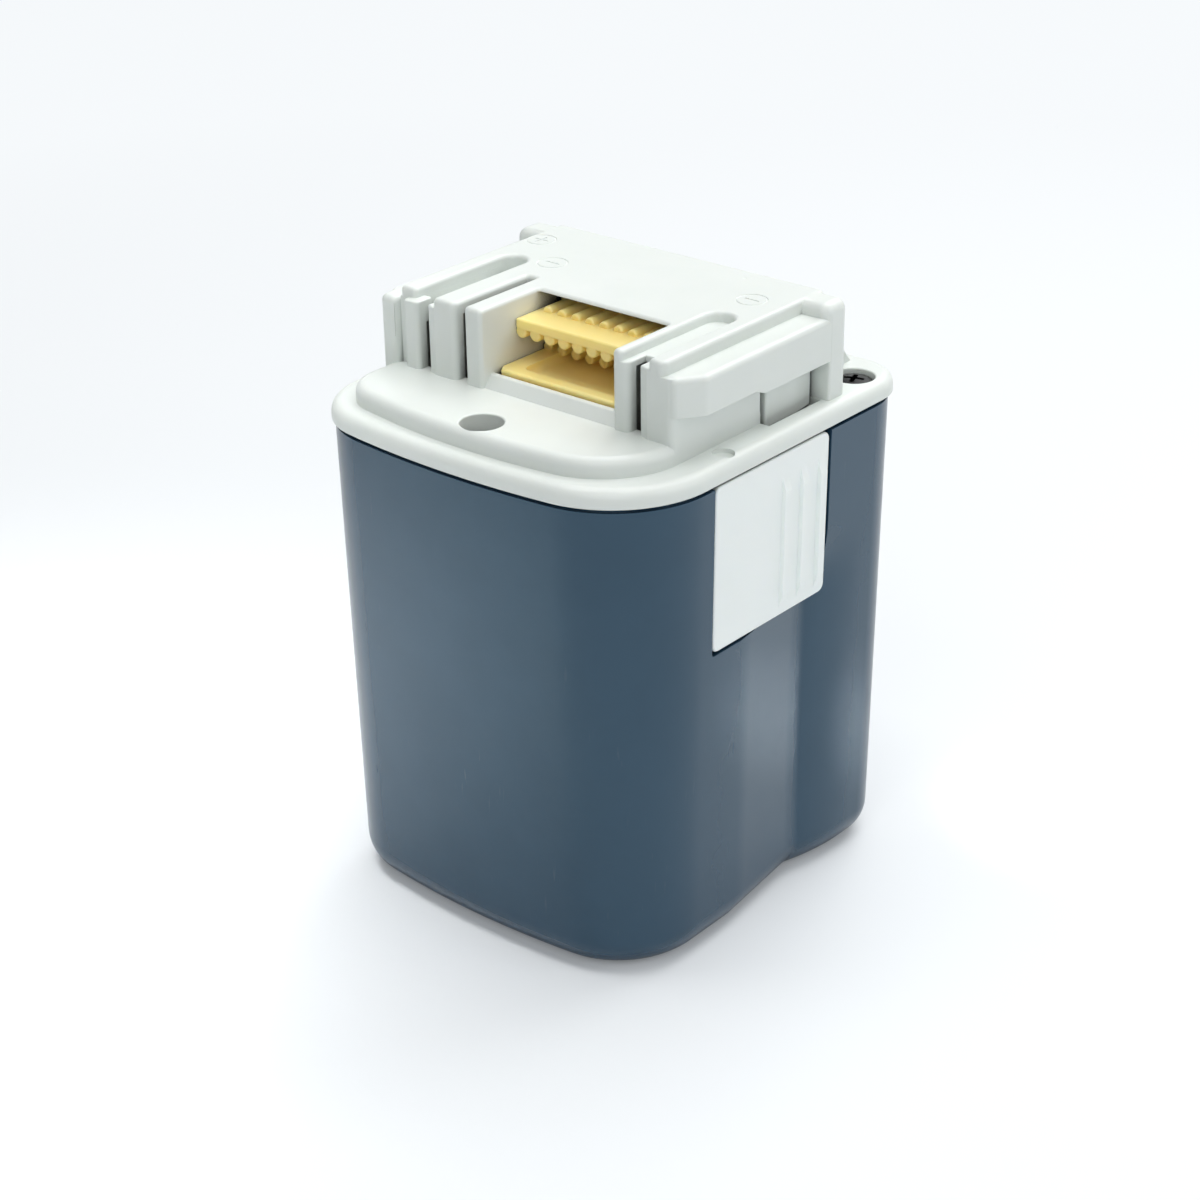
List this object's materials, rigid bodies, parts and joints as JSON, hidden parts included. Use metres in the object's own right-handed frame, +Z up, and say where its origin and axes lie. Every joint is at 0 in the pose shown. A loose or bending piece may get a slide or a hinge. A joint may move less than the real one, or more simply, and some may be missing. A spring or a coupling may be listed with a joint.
{
  "type": "power tool battery pack",
  "caption": "Slide-on power tool battery pack: a waisted tub of cells under a railed head with blade slots, a comb connector and squeeze-release latches.",
  "frame": {"origin": "on the base plane, under the middle of the tub's box", "axes": "+Z up out of the head, -Y out of the bowed front, +X to the right"},
  "size_m": [0.06, 0.064, 0.0883],
  "materials": {
    "case_plastic": "glossy slate blue moulding with light scuffs",
    "cover_plastic": "satin pale grey moulding",
    "button_plastic": "satin pale grey moulding",
    "screw_black": "black coated screw",
    "spring_steel": "drawn spring wire",
    "connector_yellow": "satin yellow moulding",
    "contact_brass": "bright stamped brass",
    "board_green": "coated circuit board",
    "chip_black": "moulded package",
    "sensor_bead": "dipped bead",
    "lead_sleeve": "sleeved lead",
    "cell_can": "shrink sleeve over a metal can",
    "strap_nickel": "rolled nickel strip",
    "fibre": "pressed fibre sheet"
  },
  "bodies": {
    "pack": {"case": "case_plastic", "cover": "cover_plastic", "cover_screws": "screw_black", "latch_spring_right": "spring_steel", "latch_spring_left": "spring_steel", "connector_housing": "connector_yellow", "connector_contacts": "contact_brass", "terminal_positive": "contact_brass", "terminal_negative": "contact_brass", "terminal_charge": "contact_brass", "circuit_board": "board_green", "control_chip": "chip_black", "thermistor": "sensor_bead", "sensor_lead": "lead_sleeve", "cell_1": "cell_can", "cell_2": "cell_can", "cell_3": "cell_can", "cell_4": "cell_can", "cell_5": "cell_can", "cell_6": "cell_can", "cell_7": "cell_can", "cell_8": "cell_can", "cell_9": "cell_can", "cell_10": "cell_can", "bottom_straps": "strap_nickel", "stick_joints": "strap_nickel", "top_straps": "strap_nickel", "positive_lead": "strap_nickel", "negative_lead": "strap_nickel", "bottom_pad": "fibre", "stick_rings": "fibre", "top_insulator": "fibre"},
    "button_right": {"release_button_right": "button_plastic"},
    "button_left": {"release_button_left": "button_plastic"}
  },
  "joints": [
    {"name": "release_right", "type": "slide", "parent": "pack", "child": "button_right", "axis": [-1, 0, 0], "range_m": [0, 0.0022], "stiffness_N_per_m": 800, "springref_m": -0.004, "deforming": ["latch_spring_right"]},
    {"name": "release_left", "type": "slide", "parent": "pack", "child": "button_left", "axis": [1, 0, 0], "range_m": [0, 0.0022], "stiffness_N_per_m": 800, "springref_m": -0.004, "deforming": ["latch_spring_left"]}
  ]
}
